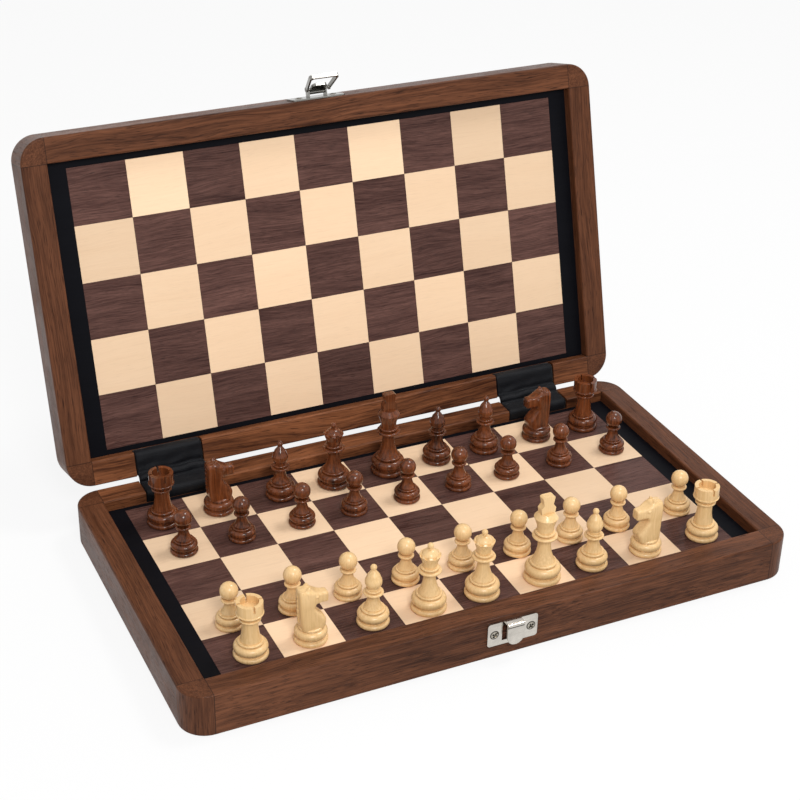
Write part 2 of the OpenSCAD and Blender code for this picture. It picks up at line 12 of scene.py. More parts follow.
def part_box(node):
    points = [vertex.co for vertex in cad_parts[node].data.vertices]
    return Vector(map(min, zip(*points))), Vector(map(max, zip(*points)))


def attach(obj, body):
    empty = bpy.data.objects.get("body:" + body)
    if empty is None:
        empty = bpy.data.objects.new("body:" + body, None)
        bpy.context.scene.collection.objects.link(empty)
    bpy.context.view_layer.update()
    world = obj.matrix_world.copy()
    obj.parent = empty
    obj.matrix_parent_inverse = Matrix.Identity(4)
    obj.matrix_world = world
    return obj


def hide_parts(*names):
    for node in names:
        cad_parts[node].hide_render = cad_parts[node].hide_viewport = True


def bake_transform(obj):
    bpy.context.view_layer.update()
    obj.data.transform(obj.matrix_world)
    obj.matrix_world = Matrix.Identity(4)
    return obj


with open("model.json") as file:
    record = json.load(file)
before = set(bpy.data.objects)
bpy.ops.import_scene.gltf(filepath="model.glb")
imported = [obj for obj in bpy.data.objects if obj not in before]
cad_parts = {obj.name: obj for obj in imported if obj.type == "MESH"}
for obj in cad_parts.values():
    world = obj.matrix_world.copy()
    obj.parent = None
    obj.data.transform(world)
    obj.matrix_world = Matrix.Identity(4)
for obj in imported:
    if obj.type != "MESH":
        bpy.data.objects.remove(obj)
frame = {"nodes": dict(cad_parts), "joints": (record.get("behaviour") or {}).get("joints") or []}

bl_info = {
    "name": "Folding Chess Box",
    "version": (1, 0, 0),
    "blender": (4, 5, 0),
    "location": "View3D > Sidebar > Chess Box",
    "description": "Wood, cloth and metal finishes, hinge bands and studio for a folding chess box",
    "category": "Object",
}


# ---------------------------------------------------------------- measures of the frame

def corners(node):
    """A node's lowest and highest corner, as an array of two rows."""
    return np.array([tuple(c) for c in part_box(node)])


def places(mesh):
    """All points of a mesh, as rows."""
    flat = np.zeros(len(mesh.vertices) * 3, np.float32)
    mesh.vertices.foreach_get("co", flat)
    return flat.reshape(-1, 3).astype(float)


def lid_turn():
    """Angle in radians that the lid is open at rest, from the line between the middles of its
    hinge-side rail and its far rail, which points along -Y with the box shut."""
    near, far = (np.mean(corners("lid_" + n), axis=0) for n in ("rear_rail", "front_rail"))
    return math.pi - math.atan2(far[2] - near[2], far[1] - near[1])


NODES = frame["nodes"]
MEN = [n for n in NODES if n.startswith(("dark_", "light_"))]
TRAYS = (("base_", False), ("lid_", True))  # how a tray's nodes begin, and whether it is the lid
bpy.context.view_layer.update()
AXIS = Vector(next(j["pos_m"] for j in frame["joints"] if j["name"] == "lid_hinge"))
LID_OPEN = lid_turn()
HALFWAY = (math.pi + (math.pi - LID_OPEN)) / 2  # turn about X of the plane between the trays
BOARD_TOP = corners("base_light_squares")[1][2]
FIELD = corners("base_dark_squares")  # box round all the squares of the base
SQUARE = ((FIELD[1] - FIELD[0]) / (9, 5, 1))[:2]
RAIL_ENDS = (corners("base_front_rail")[1][0], corners("base_side_rails")[1][1])

PLAIN_HALF = 0.0005  # half the thickness of the plain bands
KNUCKLE_WAY = 0.0025  # radius of the bands' way round the hinge knuckles
ROLL = 0.0021  # from the catch plate's top to the line of painted shade under its rolled hook
RING_STEP = 0.0004  # between two rings of a form that is carried along a path
CARVING_GRID = 0.00030  # spacing of the grid that makes a knight's carved forms one
FOOT_SHARE = 0.285  # height of a knight's foot, as a share of the knight's
FLOOR_GLOW = 0.86  # share of plain white in the floor that the camera sees
WHITE = (1, 1, 1, 1)


# ---------------------------------------------------------------- sizes and colours

def colour(name, text, value):
    """A colour property."""
    return FloatVectorProperty(
        name=name, description=text, subtype="COLOR", size=4, min=0, max=1, default=(*value, 1))


def length(name, text, value, low=0.0, high=1.0):
    """A length property in metres."""
    return FloatProperty(
        name=name, description=text, default=value, min=low, max=high,
        subtype="DISTANCE", unit="LENGTH", precision=5)


def lamp_power(name, text, value):
    """A lamp's power in watts."""
    return FloatProperty(
        name=name, description=text, default=value, min=0, max=200, subtype="POWER",
        unit="POWER")


class ChessBoxWood(bpy.types.PropertyGroup):
    """Colours of the frame, the boards and the men"""
    rail_light: colour("Rail light", "Pale streaks of the walnut rails", (0.165, 0.061, 0.028))
    rail_dark: colour("Rail dark", "Dark streaks of the walnut rails", (0.038, 0.012, 0.005))
    warm_light: colour("Warm light", "Pale streaks of the hinge rails", (0.270, 0.098, 0.040))
    warm_dark: colour("Warm dark", "Dark streaks of the hinge rails", (0.042, 0.012, 0.005))
    dark_square: colour("Dark square", "Brown of the dark squares", (0.150, 0.074, 0.060))
    dark_streak: colour("Dark streak", "Dark streaks of the dark squares", (0.036, 0.015, 0.013))
    pale_square: colour("Pale square", "Maple of the pale squares", (0.89, 0.66, 0.45))
    pale_streak: colour("Pale streak", "Faint streaks of the pale squares", (0.80, 0.56, 0.36))
    border: colour("Border", "Black of the border round the squares", (0.0035, 0.0036, 0.0050))
    dark_man: colour("Dark man", "Red brown of the dark men", (0.225, 0.062, 0.018))
    dark_man_streak: colour("Dark man streak", "Dark grain of the dark men", (0.024, 0.007, 0.004))
    light_man: colour("Light man", "Boxwood of the light men", (0.92, 0.64, 0.33))
    light_man_streak: colour("Light man streak", "Grain of the light men", (0.66, 0.41, 0.17))


class ChessBoxBands(bpy.types.PropertyGroup):
    """Sizes and colour of the cloth hinge bands"""
    cloth: colour("Cloth", "Blue black of the hinge bands", (0.0024, 0.0027, 0.0040))
    thickness: length("Thickness", "Thickness of the padded cloth", 0.0010, 0.0005, 0.002)
    crown: length("Crown", "How far the padding swells in the middle", 0.0005, 0, 0.002)
    wrinkle: length("Wrinkle", "Depth of the soft folds across a band", 0.00034, 0, 0.001)


class ChessBoxMetal(bpy.types.PropertyGroup):
    """Colours of the clasp, the screws and the hinges"""
    nickel: colour("Nickel", "Brushed nickel of the catch", (0.66, 0.62, 0.56))
    hasp: colour("Hasp", "Duller nickel of the hasp", (0.30, 0.29, 0.27))
    screw: colour("Screw", "Steel of the screws", (0.50, 0.46, 0.39))
    hinge: colour("Hinge", "Steel of the hinge leaves", (0.48, 0.46, 0.44))


class ChessBoxStage(bpy.types.PropertyGroup):
    """Camera, lamps and floor"""
    camera_place: FloatVectorProperty(
        name="Camera place", description="Where the camera stands", subtype="XYZ",
        unit="LENGTH", default=(-0.32766, -0.64846, 0.50355))
    camera_turn: FloatVectorProperty(
        name="Camera turn", description="Turn of the camera about X, Y and Z", subtype="EULER",
        default=tuple(math.radians(a) for a in (60.2493, -1.116, -24.9332)))
    lens: FloatProperty(
        name="Lens", description="Focal length on a 36 mm frame, in millimetres",
        default=78.258, min=10, max=300)
    floor: colour("Floor", "White of the floor", (0.86, 0.86, 0.86))
    floor_size: length("Floor size", "Side of the square floor", 12.0, 1, 40)
    left_lamp: lamp_power("Left lamp", "Power of the softbox on the left", 7.7)
    right_lamp: lamp_power("Right lamp", "Power of the softbox on the right", 4.9)
    room: FloatProperty(
        name="Room light", description="Strength of the even light from all sides",
        default=0.55, min=0, max=3)


# ---------------------------------------------------------------- node helpers

class Sheet:
    """A node tree with short ways to add nodes and join sockets."""

    def __init__(self, tree):
        self.tree = tree
        self.nodes = tree.nodes

    def put(self, value, socket):
        """Links an output socket into socket, or sets its plain value."""
        if isinstance(value, bpy.types.NodeSocket):
            self.tree.links.new(value, socket)
        else:
            socket.default_value = value

    def fill(self, node, inputs):
        """Sets or links each named or numbered input of a node, and gives the node back."""
        for key, value in inputs.items():
            self.put(value, node.inputs[key])
        return node

    def node(self, kind, inputs=None, **settings):
        """Adds a node with its settings and inputs."""
        made = self.nodes.new(kind)
        for key, value in settings.items():
            setattr(made, key, value)
        return self.fill(made, inputs or {})

    def use(self, name, inputs):
        """Adds a node of the named group, which is built at its first use; its outputs."""
        tree = bpy.data.node_groups.get(name) or GROUPS[name](name)
        return self.node("ShaderNodeGroup", inputs, node_tree=tree).outputs

    def math(self, operation, a, b=0.0, clamp=False):
        """One Math node's result."""
        return self.node("ShaderNodeMath", {0: a, 1: b}, operation=operation,
                         use_clamp=clamp).outputs[0]

    def vector(self, operation, a, b=(0, 0, 0)):
        """One Vector Math node's vector result."""
        return self.node("ShaderNodeVectorMath", {0: a, 1: b}, operation=operation).outputs[0]

    def parts(self, vector):
        """A vector's X, Y and Z."""
        return self.node("ShaderNodeSeparateXYZ", {0: vector}).outputs

    def weighted(self, a, a_share, b, b_share):
        """a * a_share + b * b_share."""
        return self.math("ADD", self.math("MULTIPLY", a, a_share),
                         self.math("MULTIPLY", b, b_share))

    def swing(self, value, amount):
        """(value - 0.5) * amount."""
        return self.math("MULTIPLY", self.math("SUBTRACT", value, 0.5), amount)

    def gap(self, a, b):
        """How far two values lie apart."""
        return self.math("ABSOLUTE", self.math("SUBTRACT", a, b))

    def noise(self, where, scale, detail=2.0, rough=0.5):
        """A Noise Texture's factor."""
        return self.node("ShaderNodeTexNoise", {
            "Vector": where, "Scale": scale, "Detail": detail, "Roughness": rough}).outputs[0]

    def streaks(self, where, scales, detail=2.0, rough=0.5):
        """A Noise Texture's factor with a scale of its own along each axis."""
        return self.noise(self.vector("MULTIPLY", where, scales), 1.0, detail, rough)

    def span(self, value, low, high, to_low=0.0, to_high=1.0):
        """Maps low..high to to_low..to_high, clamped."""
        return self.node("ShaderNodeMapRange", {
            "Value": value, "From Min": low, "From Max": high,
            "To Min": to_low, "To Max": to_high}).outputs[0]

    def fade(self, value, low, high):
        """1 up to low, 0 from high on."""
        return self.span(value, low, high, 1.0, 0.0)

    def mix(self, part, a, b, blend="MIX"):
        """A colour mixed from a to b."""
        return self.node("ShaderNodeMix", {0: part, 6: a, 7: b}, data_type="RGBA",
                         blend_type=blend).outputs[2]

    def shaded(self, paint, level):
        """A colour times a plain factor."""
        grey = self.node("ShaderNodeCombineColor", {0: level, 1: level, 2: level}).outputs[0]
        return self.mix(1.0, paint, grey, "MULTIPLY")

    def stained_or_shaded(self, paint, mark, strength, dark_paint):
        """A colour mixed towards a darker one, of the given strength where mark is 1: a real stain
        for glue lines, painted shade for the screws and under the hook's roll.
        """
        return self.mix(self.math("MULTIPLY", mark, strength), paint, (*dark_paint, 1))

    def bump(self, shader, height, depth, strength=1.0):
        """Feeds a height through a Bump node into the shader's normal."""
        made = self.node("ShaderNodeBump", {
            "Height": height, "Distance": depth, "Strength": strength})
        self.put(made.outputs[0], shader.inputs["Normal"])


def new_group(name, inputs, outputs):
    """An empty shader node group from (name, kind) or (name, kind, default) rows: its sheet,
    the sockets that give its inputs, and the node that takes its outputs."""
    tree = bpy.data.node_groups.new(name, "ShaderNodeTree")
    for way, rows in (("INPUT", inputs), ("OUTPUT", outputs)):
        for title, kind, *default in rows:
            socket = tree.interface.new_socket(title, in_out=way, socket_type="NodeSocket" + kind)
            if default:
                socket.default_value = default[0]
    sheet = Sheet(tree)
    return sheet, sheet.node("NodeGroupInput").outputs, sheet.node("NodeGroupOutput")


def wood_grain(name):
    """Wood with its grain along X. Long soft figure, growth lines and fine fibres are noises
    stretched along X; pores are the peaks of the finest one."""
    s, given, out = new_group(
        name,
        [("Place", "Vector"), ("Pale", "Color", (0.5, 0.3, 0.2, 1)),
         ("Deep", "Color", (0.2, 0.1, 0.06, 1)), ("Figure", "Float", 0.5),
         ("Fibre", "Float", 0.5), ("Pores", "Float", 0.3), ("Fineness", "Float", 1.0)],
        [("Color", "Color"), ("Height", "Float"), ("Gloss", "Float")])
    at = s.node("ShaderNodeVectorMath", {0: given["Place"], "Scale": given["Fineness"]},
                operation="SCALE").outputs[0]
    waver = s.swing(s.streaks(at, (9, 30, 30)), 0.016)
    at = s.vector("ADD", at, s.node("ShaderNodeCombineXYZ", {"Y": waver}).outputs[0])
    broad = s.streaks(at, (7, 95, 95), 3.0, 0.55)
    lines = s.streaks(at, (30, 850, 850), 3.0, 0.65)
    fibre = s.streaks(at, (75, 1700, 1700), 2.0, 0.6)
    finest = s.streaks(at, (130, 2600, 2600), 1.0)
    figure = s.weighted(s.span(broad, 0.32, 0.68), 0.5, s.span(lines, 0.32, 0.68), 0.5)
    level = s.math("ADD", s.swing(figure, given["Figure"]), 0.5)
    level = s.math("ADD", level, s.swing(fibre, given["Fibre"]), clamp=True)
    pore = s.math("MULTIPLY", s.span(finest, 0.60, 0.70), given["Pores"])
    dark = s.mix(1.0, given["Deep"], (0.45, 0.42, 0.40, 1), "MULTIPLY")
    s.fill(out, {
        "Color": s.mix(pore, s.mix(level, given["Deep"], given["Pale"]), dark),
        "Height": s.math("SUBTRACT", s.math("MULTIPLY", fibre, 0.5), pore),
        "Gloss": s.math("ADD", s.swing(lines, 0.25), s.math("MULTIPLY", pore, 0.2))})
    return s.tree


def square_tone(name):
    """One random shift and tone for each square of the board, from the whole number of squares
    that a place lies from the corner."""
    s, given, out = new_group(
        name, [("Place", "Vector")], [("Place", "Vector"), ("Tone", "Float")])
    cell = s.vector("SUBTRACT", given["Place"], (*FIELD[0][:2], 0))
    cell = s.vector("FLOOR", s.vector("DIVIDE", cell, (*SQUARE, 1)))
    cell = s.vector("MULTIPLY", cell, (1, 1, 0))
    dice = s.node("ShaderNodeTexWhiteNoise", {"Vector": cell}, noise_dimensions="2D").outputs
    shift = s.vector("MULTIPLY", dice["Color"], (0.7, 0.9, 0))
    s.fill(out, {"Place": s.vector("ADD", given["Place"], shift), "Tone": dice["Value"]})
    return s.tree


def handling(name):
    """Soft smudges and fine dust specks that dull a finish here and there."""
    s, given, out = new_group(
        name, [("Place", "Vector"), ("Amount", "Float", 0.5)], [("Dull", "Float")])
    smudge = s.span(s.noise(given["Place"], 38.0, 4.0, 0.6), 0.45, 0.75)
    speck = s.span(s.noise(given["Place"], 900.0, 1.0), 0.66, 0.74)
    both = s.weighted(smudge, 0.7, speck, 0.3)
    s.fill(out, {"Dull": s.math("MULTIPLY", both, given["Amount"])})
    return s.tree


def joint_lines(name):
    """Fine dark glue lines where a rail meets a corner block: 1 in a line's middle, on the
    planes as far from the box's middle along X or Y as the rails' ends."""
    s, given, out = new_group(
        name, [("Place", "Vector"), ("Long", "Float", 1.0), ("Short", "Float", 1.0)],
        [("Line", "Float")])
    away = s.parts(s.vector("ABSOLUTE", given["Place"]))
    lines = [
        s.math("MULTIPLY", s.fade(s.gap(away[axis], float(end)), 0.00008, 0.00030), given[rails])
        for axis, end, rails in zip("XY", RAIL_ENDS, ("Long", "Short"))]
    s.fill(out, {"Line": s.math("MAXIMUM", *lines)})
    return s.tree


def screw_marks(name):
    """How far a place lies inside the rim and the cross slot of a screw head, which get painted
    shade, from its distance along X and Z to the nearer of two screws."""
    s, given, out = new_group(
        name, [("Place", "Vector"), ("Middle", "Vector"), ("Half Span", "Float", 0.0095)],
        [("Rim", "Float"), ("Slot", "Float")])
    off = s.parts(s.vector("SUBTRACT", given["Place"], given["Middle"]))
    x = s.math("SUBTRACT", s.math("ABSOLUTE", off["X"]), given["Half Span"])
    z = off["Z"]
    away = s.math("SQRT", s.weighted(x, x, z, z))
    turned = s.weighted(x, 0.94, z, 0.34)
    other = s.weighted(z, 0.94, x, -0.34)
    thin = s.math("MINIMUM", s.math("ABSOLUTE", turned), s.math("ABSOLUTE", other))
    s.fill(out, {
        "Rim": s.fade(s.gap(away, 0.00205), 0.00012, 0.00045),
        "Slot": s.math("MULTIPLY", s.fade(thin, 0.0002, 0.0004), s.fade(away, 0.0013, 0.0016))})
    return s.tree


GROUPS = {"Wood Grain": wood_grain, "Square Tone": square_tone, "Handling": handling,
          "Joint Lines": joint_lines, "Screw Marks": screw_marks}


# ---------------------------------------------------------------- materials

def new_material(name):
    """A material with its Principled BSDF and object coordinates."""
    material = bpy.data.materials.new(name)
    material.use_nodes = True
    sheet = Sheet(material.node_tree)
    shader = sheet.nodes["Principled BSDF"]
    place = sheet.node("ShaderNodeTexCoord").outputs["Object"]
    return material, sheet, shader, place


def shut(place):
    """A place on the open lid, turned to where it lies with the box shut."""
    return AXIS + Matrix.Rotation(LID_OPEN, 3, "X") @ (Vector(place) - AXIS)


def closed_place(sheet, place, on_lid):
    """Object coordinates with the box shut, so that one formula serves both trays."""
    if not on_lid:
        return place
    return sheet.node("ShaderNodeMapping", {
        "Vector": place, "Location": shut((0, 0, 0)), "Rotation": (LID_OPEN, 0, 0)}).outputs[0]


def along(sheet, place, grain):
    """Swaps axes so that the grain direction X, Y or Z becomes X."""
    if grain == "X":
        return place
    turn = {"Y": (0, 0, -math.pi / 2), "Z": (0, math.pi / 2, 0)}[grain]
    return sheet.node("ShaderNodeMapping", {"Vector": place, "Rotation": turn}).outputs[0]


def wood(name, pale, deep, grain="X", on_lid=False, *, figure, fibre, pores, rough, shine,
         fineness=1.0, depth=0.00006, squares=False, coat=0.0, coat_rough=0.1, joints=None):
    """A finished wood: the grain group for colour and height, with smudges on the gloss. joints
    is (long, short) for dark glue lines at the ends of the long and of the short rails."""
    material, s, shader, place = new_material(name)
    whole = place = closed_place(s, place, on_lid)
    if squares:
        cells = s.use("Square Tone", {"Place": whole})
        place = cells["Place"]
    grains = s.use("Wood Grain", {
        "Place": along(s, place, grain), "Pale": pale, "Deep": deep, "Figure": figure,
        "Fibre": fibre, "Pores": pores, "Fineness": fineness})
    paint = grains["Color"]
    if squares:
        paint = s.shaded(paint, s.span(cells["Tone"], 0.0, 1.0, 0.86, 1.10))
    if joints is not None:
        glue = s.use("Joint Lines", {"Place": whole, "Long": joints[0], "Short": joints[1]})
        paint = s.stained_or_shaded(paint, glue["Line"], 0.75, (0.012, 0.006, 0.004))
    dull = s.use("Handling", {"Place": place, "Amount": 0.2})["Dull"]
    s.fill(shader, {
        "Base Color": paint, "Specular IOR Level": shine, "Coat Weight": coat,
        "Coat Roughness": coat_rough, "Coat IOR": 1.35,
        "Roughness": s.math("ADD", s.math("ADD", grains["Gloss"], rough), dull, clamp=True)})
    s.bump(shader, grains["Height"], depth)
    return material


def painted_black(name, paint, on_lid):
    """Black border, dyed into the wood: a faint even sheen with a trace of the wood under it."""
    return wood(name, [c * 1.6 for c in paint[:3]] + [1], paint, on_lid=on_lid, figure=0.6,
                fibre=0.5, pores=0.2, rough=0.42, depth=0.00003, shine=0.04)


def metal(name, paint, rough=0.2, brushed=True, middle=None, on_lid=False, painted_shade_line=None):
    """Metal with fine scratches, along X where it is brushed, that vary the gloss and the
    normal, and a thin tarnish. middle is the point between two screws, whose rims and slots
    get painted shade. The last argument is (front, height) of a line of painted shade and
    dark reflection under a rolled edge."""
    material, s, shader, place = new_material(name)
    place = closed_place(s, place, on_lid)
    scratch = s.streaks(place, (90, 3200, 3200) if brushed else (900, 900, 900), 2.0, 0.6)
    cloud = s.noise(place, 150.0, 3.0, 0.6)
    tone = s.shaded(paint, s.math("MULTIPLY", s.span(cloud, 0.3, 0.7, 0.8, 1.03),
                                  s.span(scratch, 0.3, 0.7, 0.90, 1.04)))
    if middle is not None:
        # painted shade in the rims and cross slots of the screw heads
        marks = s.use("Screw Marks", {"Place": place, "Middle": middle})
        screw_shade = s.math("MAXIMUM", s.math("MULTIPLY", marks["Rim"], 0.9), marks["Slot"])
        tone = s.stained_or_shaded(tone, screw_shade, 0.92, (0.020, 0.016, 0.012))
    # painted shade and dark reflection: a dark line under the hook's roll
    if painted_shade_line is not None:
        front, height = painted_shade_line
        at = s.parts(place)
        line = s.math("MULTIPLY", s.fade(s.gap(at["Z"], height), 0.00015, 0.00055),
                      s.fade(at["Y"], front + 0.0010, front + 0.0014))
        tone = s.stained_or_shaded(tone, line, 0.85, (0.030, 0.026, 0.024))
    s.fill(shader, {
        "Base Color": tone, "Metallic": 1.0,
        "Roughness": s.math("ADD", s.weighted(scratch, 0.10, cloud, 0.05), rough - 0.075)})
    s.bump(shader, scratch, 0.000002, 0.3)
    return material


def band_cloth(name, paint):
    """Plain woven cloth on the band's own map: two crossed waves for the threads, and a soft
    noise for wear."""
    material, s, shader, _ = new_material(name)
    place = s.node("ShaderNodeTexCoord").outputs["UV"]
    across, up = (s.node("ShaderNodeTexWave", {"Vector": place, "Scale": 560.0},
                         bands_direction=d).outputs["Fac"] for d in "XY")
    weave = s.math("MAXIMUM", across, up)
    fuzz = s.noise(place, 700.0, 3.0, 0.6)
    level = s.span(s.weighted(weave, 0.5, fuzz, 0.8), 0.4, 1.1, 0.7, 1.9)
    s.fill(shader, {
        "Base Color": s.shaded(paint, level), "Roughness": s.span(fuzz, 0.3, 0.7, 0.45, 0.62),
        "Specular IOR Level": 0.15, "Sheen Weight": 0.05, "Sheen Roughness": 0.45})
    s.bump(shader, s.weighted(weave, 1.0, fuzz, 0.6), 0.00007)
    return material


def dress(node, material):
    """Puts one material on a node's slots."""
    mesh = NODES[node].data
    mesh.materials.clear()
    mesh.materials.append(material)


# ---------------------------------------------------------------- surfaces

def surface(name, points, faces, uv=None):
    """A smooth mesh object from point rows and lists of faces; uv has one row for each point."""
    mesh = bpy.data.meshes.new(name)
    mesh.from_pydata(points.tolist(), [], faces)
    mesh.update()
    if uv is not None:
        layer = mesh.uv_layers.new(name="UVMap")
        loops = np.zeros(len(mesh.loops), np.int32)
        mesh.loops.foreach_get("vertex_index", loops)
        layer.data.foreach_set("uv", uv[loops].astype(np.float32).ravel())
    mesh.shade_smooth()
    made = bpy.data.objects.new(name, mesh)
    bpy.context.scene.collection.objects.link(made)
    return made


def tube_faces(rows, ring):
    """Quads of a tube of rows rings of ring points each, and one face over either end, all
    wound the same way."""
    r, c = np.meshgrid(np.arange(rows - 1), np.arange(ring), indexing="ij")
    a = r * ring + c
    b = r * ring + (c + 1) % ring
    quads = np.stack([a, b, b + ring, a + ring], axis=-1).reshape(-1, 4)
    first = np.arange(ring)
    return quads.tolist() + [first[::-1].tolist(), ((rows - 1) * ring + first).tolist()]


def travel(path):
    """Distance along a path to each of its points."""
    return np.r_[0, np.cumsum(np.linalg.norm(np.diff(path, axis=0), axis=1))]


def smooth_path(knots, step):
    """A path through knots: Catmull-Rom pieces, then spaced evenly by length."""
    p = np.vstack([2 * knots[0] - knots[1], knots, 2 * knots[-1] - knots[-2]])
    t = np.linspace(0, 1, 24, endpoint=False)[None, :, None]
    a, b, c, d = (p[k:len(p) - 3 + k][:, None, :] for k in range(4))
    fine = 0.5 * (2 * b + (c - a) * t + (2 * a - 5 * b + 4 * c - d) * t ** 2
                  + (3 * b - a - 3 * c + d) * t ** 3)
    fine = np.vstack([fine.reshape(-1, knots.shape[1]), knots[-1]])
    run = travel(fine)
    even = np.linspace(0, run[-1], max(2, int(round(run[-1] / step)) + 1))
    return np.column_stack([np.interp(even, run, fine[:, k]) for k in range(fine.shape[1])])


def band_path():
    """Middle line of a hinge band in the Y-Z plane: up the base's inner wall, over the rail,
    round the hinge knuckles, and the same mirrored in the plane that halves the opening."""
    low, high = corners("base_bands")
    wall, top = low[1] + PLAIN_HALF, high[2] - PLAIN_HALF
    hub = np.array([AXIS.y, AXIS.z])
    start = np.array([
        [wall, BOARD_TOP + 0.0001], [wall, BOARD_TOP + 0.0025], [wall + 0.0001, top - 0.0012],
        [wall + 0.0010, top - 0.0001], [wall + 0.0028, top + 0.0001],
        [wall + 0.0055, top + 0.0002], [wall + 0.0085, top],
        [hub[0] - 0.0037, top + 0.0001], [hub[0] - 0.0027, top + 0.0007]])
    arc = np.radians(np.linspace(168, math.degrees(HALFWAY), 5))
    over = np.column_stack([hub[0] + KNUCKLE_WAY * np.cos(arc),
                            hub[1] + KNUCKLE_WAY * np.sin(arc)])
    base = np.vstack([start, over])
    way = np.array([math.cos(HALFWAY), math.sin(HALFWAY)])
    offset = base - hub
    mirrored = hub + 2 * np.outer(offset @ way, way) - offset
    return smooth_path(np.vstack([base, mirrored[::-1][1:]]), RING_STEP)


def band(name, middle_x, width, bands):
    """One padded band: a flat ring carried along the path, and the path's length. With s from
    -1 to 1 across the width, a side lies t / 2 * sqrt(1 - ((|s| - 0.965) / 0.035)^2) from the
    path at the round edges and t / 2 between them. The upper side swells by a further
    crown * sqrt(1 - s^2), and shallow waves cross it, deepest in a bell curve round the fold.
    Both fade over the first and last 2 mm."""
    path = band_path()
    way = np.gradient(path, axis=0)
    way /= np.linalg.norm(way, axis=1)[:, None]
    out = np.column_stack([-way[:, 1], way[:, 0]])
    run = travel(path)
    end = run[-1]
    down = run[:, None]
    side = np.linspace(-1, 1, 41)
    half = bands.thickness / 2
    edge = half * np.sqrt(np.clip(1 - (np.clip(np.abs(side) - 0.965, 0, 1) / 0.035) ** 2, 0, 1))
    swell = bands.crown * (1 - side ** 2) ** 0.5
    fold = np.exp(-((run - end / 2) / 0.0062) ** 2)[:, None]
    lean = 0.9 * np.sin(side * 2.3 + middle_x * 30) + 0.4 * np.sin(side * 5.1 - middle_x * 70)
    waves = bands.wrinkle * (
        np.sin(down * 1150 + lean) + 0.5 * np.sin(side * 9.7 - down * 700 + middle_x * 90))
    body = np.clip(np.minimum(run, end - run) / 0.002, 0, 1)[:, None]
    upper = edge + (swell + waves * (0.25 + 0.75 * fold)) * body * (edge / half)
    lower = np.broadcast_to(-edge[::-1][1:-1], (len(path), len(side) - 2))
    heights = np.concatenate([upper, lower], axis=1)
    x = middle_x + side * width / 2
    across = np.broadcast_to(np.concatenate([x, x[::-1][1:-1]]), heights.shape)
    points = np.empty((*heights.shape, 3))
    points[..., 0] = across
    points[..., 1:] = path[:, None, :] + out[:, None, :] * heights[..., None]
    uv = np.stack([across, np.broadcast_to(down, heights.shape)], axis=-1)
    made = surface(name, points.reshape(-1, 3), tube_faces(*heights.shape), uv.reshape(-1, 2))
    return made, float(end)


def carved_form(knots, power, ring=36, step=RING_STEP):
    """Closed form of superellipse rings carried along a path. Each knot row, in millimetres,
    holds the ring's middle x and z, the x and z of its half height in the side view, and its
    half width across: a point is middle + half height * c + half width * s, where c and s are
    the cosine and sine of the turn, each raised to 2 / power."""
    rows = smooth_path(np.array(knots, float) * 0.001, step)
    turn = np.linspace(0, 2 * np.pi, ring, endpoint=False)
    c, w = (np.sign(f(turn)) * np.abs(f(turn)) ** (2 / power) for f in (np.cos, np.sin))
    points = np.stack([rows[:, 0:1] + rows[:, 2:3] * c, rows[:, 4:5] * w,
                       rows[:, 1:2] + rows[:, 3:4] * c], axis=-1)
    return points.reshape(-1, 3), tube_faces(len(rows), ring)


def turned_form(heights, radii, ring=64):
    """Closed form turned about the upright axis: radius given for each height."""
    turn = np.linspace(0, 2 * np.pi, ring, endpoint=False)
    points = np.stack([radii[:, None] * np.cos(turn), radii[:, None] * np.sin(turn),
                       np.broadcast_to(heights[:, None], (len(heights), ring))], axis=-1)
    return points.reshape(-1, 3), tube_faces(len(heights), ring)


def joined(forms):
    """Several forms' points and faces as one."""
    points, faces, first = [], [], 0
    for p, f in forms:
        points.append(p)
        faces += [[first + k for k in face] for face in f]
        first += len(p)
    return np.vstack(points), faces


def foot_form(radius, height):
    """A knight's turned foot, as wide at each height as the widest of three straight steps
    (radius, top) and three round beads (radius, middle, thickness), all but the radii as shares
    of the height. A bead's radius is r - t / 2 + sqrt((t / 2)^2 - (z - middle)^2)."""
    steps = ((0.6 * radius, 1), (radius - 0.17 * height, 0.5), (0.66 * radius, 0.9))
    beads = ((radius, 0.14, 0.28), (radius - 0.03 * height, 0.57, 0.46),
             (0.74 * radius, 0.88, 0.13))
    z = np.linspace(0, height, 120)
    width = np.zeros(len(z))
    for r, top in steps:
        width = np.maximum(width, np.where(z <= top * height, r, 0))
    for r, middle, thick in beads:
        half, off = thick * height / 2, z - middle * height
        inside = np.abs(off) < half
        bead = r - half + np.sqrt(np.where(inside, half ** 2 - off ** 2, 0))
        width = np.maximum(width, np.where(inside, bead, 0))
    return turned_form(z, width)


